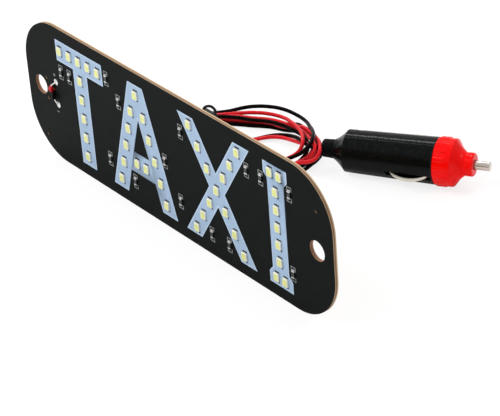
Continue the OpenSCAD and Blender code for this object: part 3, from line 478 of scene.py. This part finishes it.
# floor, backdrop and light
studio = {"floorSize": 6.0, "floorDrop": 0.0002, "paper": (0.92, 0.92, 0.92, 1), "paperRough": 0.9,
          "paperSpecular": 0.1, "paperGlow": 0.8, "white": 1.0, "fill": 0.62, "horizon": 0.5, "wallTo": 0.4}
lamps = {
    "keyLight": {"place": (-0.5, -1.0, 1.5), "target": (0, 0.03, 0.03), "size": (1.0, 0.7), "power": 26.0},
    "rimLight": {"place": (0.9, 1.0, 1.1), "target": (0.03, 0.08, 0.01), "size": (0.7, 0.3), "power": 3.5},
    # long, narrow and level with the plug, so that it draws one line along it
    "stripLight": {"place": (-0.79, 0.54, 1.18), "target": (0.035, 0.093, 0.01), "size": (1.9, 0.07),
                   "power": 14.0, "along": plugLevel.col[0].xyz},
}
floorMesh = bpy.data.meshes.new("floor")
bm = bmesh.new()
bmesh.ops.create_grid(bm, x_segments=1, y_segments=1, size=studio["floorSize"] / 2)
bm.to_mesh(floorMesh)
bm.free()
floor = bpy.data.objects.new("floor", floorMesh)
scene.collection.objects.link(floor)
floor.location.z = -studio["floorDrop"]
paper = bpy.data.materials.new("paper")
paper.use_nodes = True
tree = paper.node_tree
sheet = tree.nodes["Principled BSDF"]
sheet.inputs["Base Color"].default_value = studio["paper"]
sheet.inputs["Roughness"].default_value = studio["paperRough"]
sheet.inputs["Specular IOR Level"].default_value = studio["paperSpecular"]
glow = addNode(tree, "Emission", Strength=studio["white"])
seen = calc(tree, "MULTIPLY", addNode(tree, "LightPath").outputs["Is Camera Ray"], studio["paperGlow"])
blend = addNode(tree, "MixShader", i0=seen, i1=sheet.outputs[0], i2=glow.outputs[0])
tree.links.new(blend.outputs[0], tree.nodes["Material Output"].inputs["Surface"])
floorMesh.materials.append(paper)

world = bpy.data.worlds.new("studio")
scene.world = world
world.use_nodes = True
tree = world.node_tree
sky = tree.nodes["Background"]
sky.inputs["Color"].default_value = (1, 1, 1, 1)
path = addNode(tree, "LightPath")
mirrored = calc(tree, "MAXIMUM", path.outputs["Is Glossy Ray"], path.outputs["Is Transmission Ray"])
direct = calc(tree, "MAXIMUM", path.outputs["Is Camera Ray"], mirrored)
level = ranged(tree, direct, To_Min=studio["fill"], To_Max=studio["white"])
# mirrored in metal, the room is dimmer towards its walls
height = addNode(tree, "SeparateXYZ", i0=addNode(tree, "TexCoord").outputs["Generated"]).outputs["Z"]
wall = ranged(tree, height, {"interpolation_type": "SMOOTHSTEP"}, From_Max=studio["wallTo"],
              To_Min=studio["horizon"])
dimmed = addNode(tree, "Mix", {"data_type": "FLOAT"}, i0=path.outputs["Is Glossy Ray"], i2=1.0, i3=wall)
tree.links.new(calc(tree, "MULTIPLY", level, dimmed.outputs[0]), sky.inputs["Strength"])


def areaLight(name, place, target, size, power, along=None):
    data = bpy.data.lights.new(name, "AREA")
    data.shape = "RECTANGLE"
    data.size, data.size_y = size
    data.energy = power
    light = bpy.data.objects.new(name, data)
    scene.collection.objects.link(light)
    light.location = place
    back = (Vector(place) - Vector(target)).normalized()
    side = Vector((0, 0, 1)).cross(back) if along is None else along
    side = (side - side.dot(back) * back).normalized()
    light.rotation_euler = Matrix((side, back.cross(side), back)).transposed().to_euler()
    return light


lit = {name: areaLight(name, **lamp) for name, lamp in lamps.items()}
lit["keyLight"].visible_glossy = False  # its broad mirror image would grey the black plastic
scene.view_settings.view_transform = "Standard"
print("studio lit")


# reading the solids
solids = {"weld": 1e-6, "flatAngle": 0.5, "facing": 0.9}
toFront = Vector((0, -1, 0))


def welded(node):
    bm = bmesh.new()
    bm.from_mesh(cadNodes[node].data)
    bmesh.ops.remove_doubles(bm, verts=bm.verts, dist=solids["weld"])
    return bm


def cadCopy(node):
    # a solid with its flat faces whole again
    bm = welded(node)
    bmesh.ops.dissolve_limit(bm, angle_limit=math.radians(solids["flatAngle"]), verts=bm.verts,
                             edges=bm.edges)
    return bm


def frontFaces(faces):
    return [face for face in faces if face.normal.dot(toFront) > solids["facing"]]


def islands(node):
    # the box of each separate solid in a node
    bm = welded(node)
    left, boxes = set(bm.verts), []
    while left:
        start = left.pop()
        group, queue = [start], [start]
        while queue:
            vert = queue.pop()
            for edge in vert.link_edges:
                other = edge.other_vert(vert)
                if other in left:
                    left.discard(other)
                    group.append(other)
                    queue.append(other)
        low = Vector([min(v.co[k] for v in group) for k in range(3)])
        high = Vector([max(v.co[k] for v in group) for k in range(3)])
        boxes.append((low, high))
    bm.free()
    return sorted(boxes, key=lambda box: (round(box[0].z, 5), round(box[0].x, 5)))


def block(bm, low, high):
    size = high - low
    place = Matrix.Translation((low + high) / 2) @ Matrix.Diagonal((*size, 1))
    return bmesh.ops.create_cube(bm, size=1, matrix=place)["verts"]


def centre(box):
    return (box[0] + box[1]) / 2


def nearest(boxes, box):
    return min(boxes, key=lambda other: (centre(other) - centre(box)).length)


def roundEdges(bm, edges, width, segments=2):
    bmesh.ops.bevel(bm, geom=list(edges), offset=width, offset_type="OFFSET", segments=segments, profile=0.5,
                    affect="EDGES", material=-1, clamp_overlap=True)


# LEDs: a white cup filled almost to its rim with phosphor
led = {"letters": "taxi", "rim": 0.24, "slope": 0.10, "depth": 0.30, "edge": 0.07,
       "fillInset": 0.2064, "fillBelow": 0.02, "dip": (0.3, -0.012), "rise": (0.45, 0.021),
       "stripLength": 0.78, "stripRise": 0.012, "stripSink": 0.03,
       "padReach": 0.14, "padRise": 0.08, "padEdge": 0.02}


def ledCups(bm):
    # rounded blocks get a rim, then a wall that leans in
    roundEdges(bm, bm.edges, led["edge"] * mm, 1)
    bm.normal_update()
    fronts = frontFaces(bm.faces)
    bmesh.ops.inset_individual(bm, faces=fronts, thickness=(led["rim"] - led["edge"]) * mm)
    bmesh.ops.inset_individual(bm, faces=fronts, thickness=led["slope"] * mm, depth=-led["depth"] * mm)


def ledPhosphor(bm, low, high):
    # its face dips towards the walls and rises a little in the middle
    inset = led["fillInset"] * mm
    verts = block(bm, Vector((low.x + inset, low.y + led["fillBelow"] * mm, low.z + inset)),
                  Vector((high.x - inset, low.y + led["depth"] * mm, high.z - inset)))
    faces = {face for vert in verts for face in vert.link_faces}
    for face in faces:
        face.normal_update()
    for thickness, depth in (led["dip"], led["rise"]):
        bmesh.ops.inset_individual(bm, faces=frontFaces(faces), thickness=thickness * mm, depth=depth * mm)


for letter in led["letters"]:
    cases, fillings, endStrips = bmesh.new(), bmesh.new(), bmesh.new()
    caseBoxes = islands("led_bodies_" + letter)
    for low, high in caseBoxes:
        block(cases, low, high)
        ledPhosphor(fillings, low, high)
        # a thin dark mask-coloured strip on the panel beside each end of the case
        top, base = high.y - led["stripRise"] * mm, high.y + led["stripSink"] * mm
        reach = led["stripLength"] * mm
        for start, stop in ((low.z - reach, low.z), (high.z, high.z + reach)):
            block(endStrips, Vector((low.x, top, start)), Vector((high.x, base, stop)))
    ledCups(cases)
    casePiece = finishMesh(cases, "ledCases" + letter.upper(), smoothAngle=50)
    fillPiece = finishMesh(fillings, "ledPhosphor" + letter.upper(), smoothAngle=50)
    endStripPiece = finishMesh(endStrips, "ledEndStrips" + letter.upper())
    paint(casePiece, "led_case")
    paint(fillPiece, "phosphor")
    paint(endStripPiece, "solder_mask")
    pads = bmesh.new()
    for low, high in islands("led_terminals_" + letter):
        above = low.z > nearest(caseBoxes, (low, high))[0].z
        reach = led["padReach"] * mm
        block(pads, Vector((low.x, high.y - led["padRise"] * mm, low.z if above else high.z - reach)),
              Vector((high.x, high.y, low.z + reach if above else high.z)))
    roundEdges(pads, pads.edges, led["padEdge"] * mm, 1)
    padPiece = paint(finishMesh(pads, "ledPads" + letter.upper()), "tinned")
    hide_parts("led_terminals_" + letter)
    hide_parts("led_bodies_" + letter)
    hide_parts("led_windows_" + letter)
print("LEDs made")

# letter panels with a paler printed line along their edges
panel = {"border": 0.42}
for letter in led["letters"]:
    bm = cadCopy("letter_panel_" + letter)
    bm.normal_update()
    border = bmesh.ops.inset_region(bm, faces=frontFaces(bm.faces), thickness=panel["border"] * mm,
                                    use_even_offset=True, use_boundary=True)["faces"]
    for face in border:
        face.material_index = 1
    piece = finishMesh(bm, "letterPanel" + letter.upper(), recalc=False)
    piece.data.materials.append(finish("panel_ink"))
    piece.data.materials.append(finish("panel_edge"))
    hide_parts("letter_panel_" + letter)
print("panels made")

# chip resistors: ceramic with rounded tinned ends standing in solder
chip = {"bodyEdge": 0.048, "edge": 0.08, "fillet": 0.45, "filletRise": 0.34, "footRise": 0.05}
bodies, ends = bmesh.new(), bmesh.new()
bodyBoxes, capBoxes = islands("resistor_bodies"), islands("resistor_caps")
for boxes, bm in ((bodyBoxes, bodies), (capBoxes, ends)):
    for low, high in boxes:
        block(bm, low, high)
roundEdges(bodies, bodies.edges, chip["bodyEdge"] * mm, 1)
roundEdges(ends, ends.edges, chip["edge"] * mm, 2)
# solder runs from each end down to the board
for low, high in capBoxes:
    way = 1 if centre((low, high)).z > centre(nearest(bodyBoxes, (low, high))).z else -1
    outer = high.z if way > 0 else low.z
    foot = outer + way * chip["fillet"] * mm
    verts = block(ends, Vector((low.x, high.y - chip["filletRise"] * mm, min(outer, foot))),
                  Vector((high.x, high.y, max(outer, foot))))
    for v in verts:
        if abs(v.co.z - foot) < solids["weld"]:
            v.co.y = max(v.co.y, high.y - chip["footRise"] * mm)
resistorPiece = paint(finishMesh(bodies, "resistorBodies"), "black_ceramic")
endPiece = paint(finishMesh(ends, "resistorEnds"), "tinned")
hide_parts("resistor_bodies")
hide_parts("resistor_caps")
print("resistors made")

# the plug, modelled along its own axis in millimetres
plugToWorld = Matrix.Scale(mm, 4) @ plugLevel
plugWeld = 1e-4


def corner(s, r, radius, start, stop, steps=5):
    # the rounded outer corner of a profile at (s, r), angles from the plug's axis
    s = s + radius if start > 90 else s - radius
    angles = [math.radians(start + (stop - start) * i / steps) for i in range(steps + 1)]
    return [(s + radius * math.cos(a), r - radius + radius * math.sin(a)) for a in angles]


def turn(profile, steps=96, closed=True):
    # spin a profile of (place, radius) round the axis
    bm = bmesh.new()
    verts = [bm.verts.new((s, r, 0)) for s, r in profile]
    pairs = list(zip(verts, verts[1:])) + ([(verts[-1], verts[0])] if closed else [])
    edges = [bm.edges.new(pair) for pair in pairs]
    bmesh.ops.spin(bm, geom=verts + edges, cent=(0, 0, 0), axis=(1, 0, 0), angle=math.tau, steps=steps,
                   use_merge=True, use_duplicate=False)
    bmesh.ops.remove_doubles(bm, verts=bm.verts, dist=plugWeld)
    return bm


def place(bm, name, body, finishName, smoothAngle=40, matrix=None, recalc=True):
    bmesh.ops.transform(bm, matrix=matrix or plugToWorld, verts=bm.verts)
    return paint(finishMesh(bm, name, body, smoothAngle, recalc), finishName)


def softenEdges(piece, width, segments=2, angle=40):
    bevel = piece.modifiers.new("softEdges", "BEVEL")
    bevel.width = width * mm
    bevel.segments = segments
    bevel.limit_method = "ANGLE"
    bevel.angle_limit = math.radians(angle)


# nose cap: a ribbed ring, a hollow curved cone and a fluted collar
nose = {"rear": 50.3, "rearRound": 0.3, "bore": 8.4, "ring": 10.02, "ringMiddle": 53.0, "ringSlack": 0.01,
        "ribs": 16, "ribRise": 0.33, "ribHalf": 0.235, "ribSide": 0.075, "ribFrom": 50.75, "ribTo": 55.3,
        "ribEnd": 0.35, "shoulder": 57.9, "shoulderRound": 0.6, "coneEnd": 63.1, "coneRise": 5.0,
        "coneHollow": 1.8, "coneRows": 12, "collar": 4.75, "collarSlack": 0.12, "flutes": 12,
        "fluteRise": 0.25, "fluteHalf": 0.3, "fluteSide": 0.08, "fluteFrom": 62.9, "fluteTo": 65.3,
        "fluteRows": (63.2, 63.6, 65.2), "face": 65.8, "faceRound": 0.45, "steps": 192,
        # from the mouth of the pin's hole back to the pocket that takes the shell's end
        "inside": [(65.8, 2.3), (65.5, 2.05), (63.5, 2.05), (63.5, 3.6), (57.6, 3.6), (57.6, 8.4)]}


def ridge(angle, count, half, side):
    # how far up a ridge this angle is, with ridges evenly round the axis
    phase = (angle / 360 * count) % 1
    return max(0, min(1, (half - abs(phase - 0.5)) / side))


def noseRise(s, radius, angle):
    # how far ribs and flutes lift the surface here
    if abs(radius - nose["ring"]) < nose["ringSlack"]:
        ends = [max(0, (s - nose["ribFrom"]) / nose["ribEnd"]), max(0, (nose["ribTo"] - s) / nose["ribEnd"])]
        across = ridge(angle, nose["ribs"], nose["ribHalf"], nose["ribSide"])
        return nose["ribRise"] * across * math.sqrt(min(1, *ends))
    if abs(radius - nose["collar"]) < nose["collarSlack"] and nose["fluteFrom"] < s < nose["fluteTo"]:
        return nose["fluteRise"] * ridge(angle, nose["flutes"], nose["fluteHalf"], nose["fluteSide"])
    return 0


ringPlaces = [nose["ribFrom"] + nose["ribEnd"] * share for share in (0, 0.5, 1)] + [nose["ringMiddle"]]
ringPlaces += [nose["ribTo"] - nose["ribEnd"] * share for share in (2, 1, 0)]
conePlaces = [i / nose["coneRows"] for i in range(1, nose["coneRows"] + 1)]
profile = [(nose["rear"], nose["bore"])] + corner(nose["rear"], nose["ring"], nose["rearRound"], 180, 90, 3)
profile += [(s, nose["ring"]) for s in ringPlaces]
profile += corner(nose["shoulder"], nose["ring"], nose["shoulderRound"], 90, 22)
profile += [(nose["shoulder"] + (nose["coneEnd"] - nose["shoulder"]) * t,
             nose["collar"] + nose["coneRise"] * (1 - t) ** nose["coneHollow"]) for t in conePlaces]
profile += [(s, nose["collar"]) for s in nose["fluteRows"]]
profile += corner(nose["face"], nose["collar"], nose["faceRound"], 90, 0, 4)
bm = turn(profile + nose["inside"], nose["steps"])
for vert in bm.verts:
    radius = math.hypot(vert.co.y, vert.co.z)
    rise = noseRise(vert.co.x, radius, math.degrees(math.atan2(vert.co.z, vert.co.y)) % 360)
    if rise:
        vert.co.y *= 1 + rise / radius
        vert.co.z *= 1 + rise / radius
nosePiece = place(bm, "noseCap", "cap", "red_plastic", 32)
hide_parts("nose_cap")

# centre pin: a collar held inside the cap and a rounded tip
pin = {"radius": 1.9, "collar": 3.3, "from": 62.0, "to": 63.4, "shaftTo": 69.5, "tip": 72.5, "tipRound": 0.5}
profile = [(pin["from"], 0), (pin["from"], pin["collar"]), (pin["to"], pin["collar"]),
           (pin["to"], pin["radius"]), (pin["shaftTo"], pin["radius"])]
profile += corner(pin["tip"], pin["radius"], pin["tipRound"], 90, 10) + [(pin["tip"], 0)]
pinPiece = place(turn(profile, 48, closed=False), "centrePin", "pin", "nickel", 50)
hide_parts("centre_pin")

# rubber neck: a rounded lip, a slight taper and the flange held by the shell
neck = {"bore": 1.87, "boreFrom": 0.25, "lip": 3.8, "lipRound": 0.5, "into": 8.4, "inner": 4.05,
        "flange": 5.3, "flangeTo": 10.2, "taper": [(2.6, 3.88), (4.4, 4.02), (5.5, 4.03)]}
profile = [(neck["boreFrom"], neck["bore"])] + corner(0, neck["lip"], neck["lipRound"], 180, 90)
profile += neck["taper"]
profile += [(neck["into"], neck["inner"]), (neck["into"], neck["flange"]), (neck["flangeTo"], neck["flange"]),
            (neck["flangeTo"], neck["bore"])]
neckPiece = place(turn(profile, 64), "rubberNeck", "sign", "black_rubber", 40)
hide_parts("strain_relief")

# the two shell halves: the flare is drawn in to a hollow curve, every edge is softened
shell = {"flareFrom": 5.6, "flareTo": 11.0, "neck": 4.95, "shoulder": 9.0, "slim": 4.5, "hollow": 1.2,
         "skin": 0.12, "edge": 0.2, "cuts": 9}
flareLong, nearEnd = shell["flareTo"] - shell["flareFrom"], 0.001
for node, name in (("shell_near", "shellHalfNear"), ("shell_far", "shellHalfFar")):
    bm = cadCopy(node)
    bmesh.ops.transform(bm, matrix=plugToWorld.inverted(), verts=bm.verts)
    for i in range(1, shell["cuts"]):
        s = shell["flareFrom"] + flareLong * i / shell["cuts"]
        bmesh.ops.bisect_plane(bm, geom=bm.verts[:] + bm.edges[:] + bm.faces[:], dist=plugWeld,
                               plane_co=(s, 0, 0), plane_no=(1, 0, 0))
    for vert in bm.verts:
        radius = math.hypot(vert.co.y, vert.co.z)
        t = (vert.co.x - shell["flareFrom"]) / flareLong
        straight = shell["neck"] + (shell["shoulder"] - shell["neck"]) * t
        if -nearEnd < t < 1 - nearEnd and radius > straight - shell["skin"]:
            drawn = shell["slim"] + (shell["shoulder"] - shell["slim"]) * max(0.0, t) ** shell["hollow"]
            vert.co.y *= drawn / radius
            vert.co.z *= drawn / radius
    piece = place(bm, name, "sign", "black_plastic", 32, recalc=False)
    softenEdges(piece, shell["edge"], angle=32)
    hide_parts(node)

# sprung side contacts and the shell's screw, with their edges rounded
metal = {"contactEdge": 0.14, "screwEdge": 0.12}
for node, name, body in (("side_contact_near", "sideContactNear", "contact_near"),
                         ("side_contact_far", "sideContactFar", "contact_far")):
    piece = paint(finishMesh(cadCopy(node), name, body, 30, recalc=False), "contact_metal")
    softenEdges(piece, metal["contactEdge"])
    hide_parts(node)
screwPiece = paint(finishMesh(cadCopy("shell_screw"), "shellScrew", "sign", 30, recalc=False), "steel")
softenEdges(screwPiece, metal["screwEdge"])
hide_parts("shell_screw")
# the spring behind the fuse, which shortens as the pin is pressed, gets a mesh of its own
springPiece = paint(finishMesh(cadCopy("pin_spring"), "pinSpring", smoothAngle=60, recalc=False), "steel")
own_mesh(springPiece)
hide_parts("pin_spring")
print("plug made")


def wireMesh(routes, thick):
    # round wires through points in millimetres, as one mesh
    curve = bpy.data.curves.new("wireRoutes", "CURVE")
    curve.dimensions = "3D"
    curve.bevel_depth = thick / 2 * mm
    curve.bevel_resolution = 2
    curve.use_fill_caps = True
    for route in routes:
        spline = curve.splines.new("BEZIER")
        spline.bezier_points.add(len(route) - 1)
        for knot, p in zip(spline.bezier_points, route):
            knot.co = Vector(p) * mm
            knot.handle_left_type = knot.handle_right_type = "AUTO"
    carrier = bpy.data.objects.new("wireCarrier", curve)
    scene.collection.objects.link(carrier)
    bpy.context.view_layer.update()
    mesh = bpy.data.meshes.new_from_object(carrier.evaluated_get(bpy.context.evaluated_depsgraph_get()))
    bpy.data.objects.remove(carrier)
    return mesh


# twist tie on the coil: a band and a loop that stands up from it
tie = {"edge": 0.25, "loopThick": 1.25,
       "loop": [(-57.7, 58.6, 7.5), (-58.3, 58.6, 8.6), (-58.4, 59.3, 9.6), (-57.8, 60.5, 10.0),
                (-56.8, 61.6, 9.8), (-55.8, 62.2, 9.0), (-55.1, 62.5, 8.0), (-54.7, 62.4, 7.2)]}
bandPiece = paint(finishMesh(cadCopy("coil_tie"), "tieBand", smoothAngle=30, recalc=False), "black_tie")
softenEdges(bandPiece, tie["edge"], 3)
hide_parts("coil_tie")
loopPiece = paint(addObject("tieLoop", wireMesh([tie["loop"]], tie["loopThick"])), "black_tie")
for face in loopPiece.data.polygons:
    face.use_smooth = True
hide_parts("tie_loop")

# solder joints with the bare strands lying in them
joint = {"outline": [(0, 0), (0, 1.36), (0.07, 1.30), (0.16, 1.02), (0.27, 0.72), (0.37, 0.42), (0.41, 0)],
         "lean": 1.12, "strand": 0.7, "sink": 0.26,
         # a strand's points: how far back in the sleeve, out of it and on, how near the joint, and its tip
         "along": (-0.4, 0.35, 0.5), "near": 0.65, "tip": (0.25, 0.1, 0.55)}
strandRoutes = []
for node, name, side in (("solder_plus", "solderPlus", 1), ("solder_minus", "solderMinus", -1)):
    low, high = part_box(node)
    foot = Vector(((low.x + high.x) / 2, high.y, (low.z + high.z) / 2))
    bm = turn(joint["outline"], 28, closed=False)
    outward = Matrix.Translation(foot) @ Matrix.Rotation(-math.pi / 2, 4, "Z") @ Matrix.Scale(mm, 4)
    stretch = Matrix.Diagonal((1, 1, joint["lean"], 1))
    piece = place(bm, name, "sign", "tinned", 50, matrix=outward @ stretch)
    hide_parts(node)
    # from inside the sleeve down into the solder
    bare, sleeved = frontEnd(side)[:2]
    inside, leaving, onward = [bare + (bare - sleeved) * share for share in joint["along"]]
    goal = foot / mm + Vector((0, -joint["sink"], 0))
    tipX, tipY, tipZ = joint["tip"]
    strandRoutes.append([inside, leaving, onward.lerp(goal, joint["near"]), goal,
                         goal + Vector((tipX, tipY, side * tipZ))])
strandPiece = paint(addObject("bareStrands", wireMesh(strandRoutes, joint["strand"])), "tinned")
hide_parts("wire_tails")
print("joints made")

bpy.context.view_layer.update()
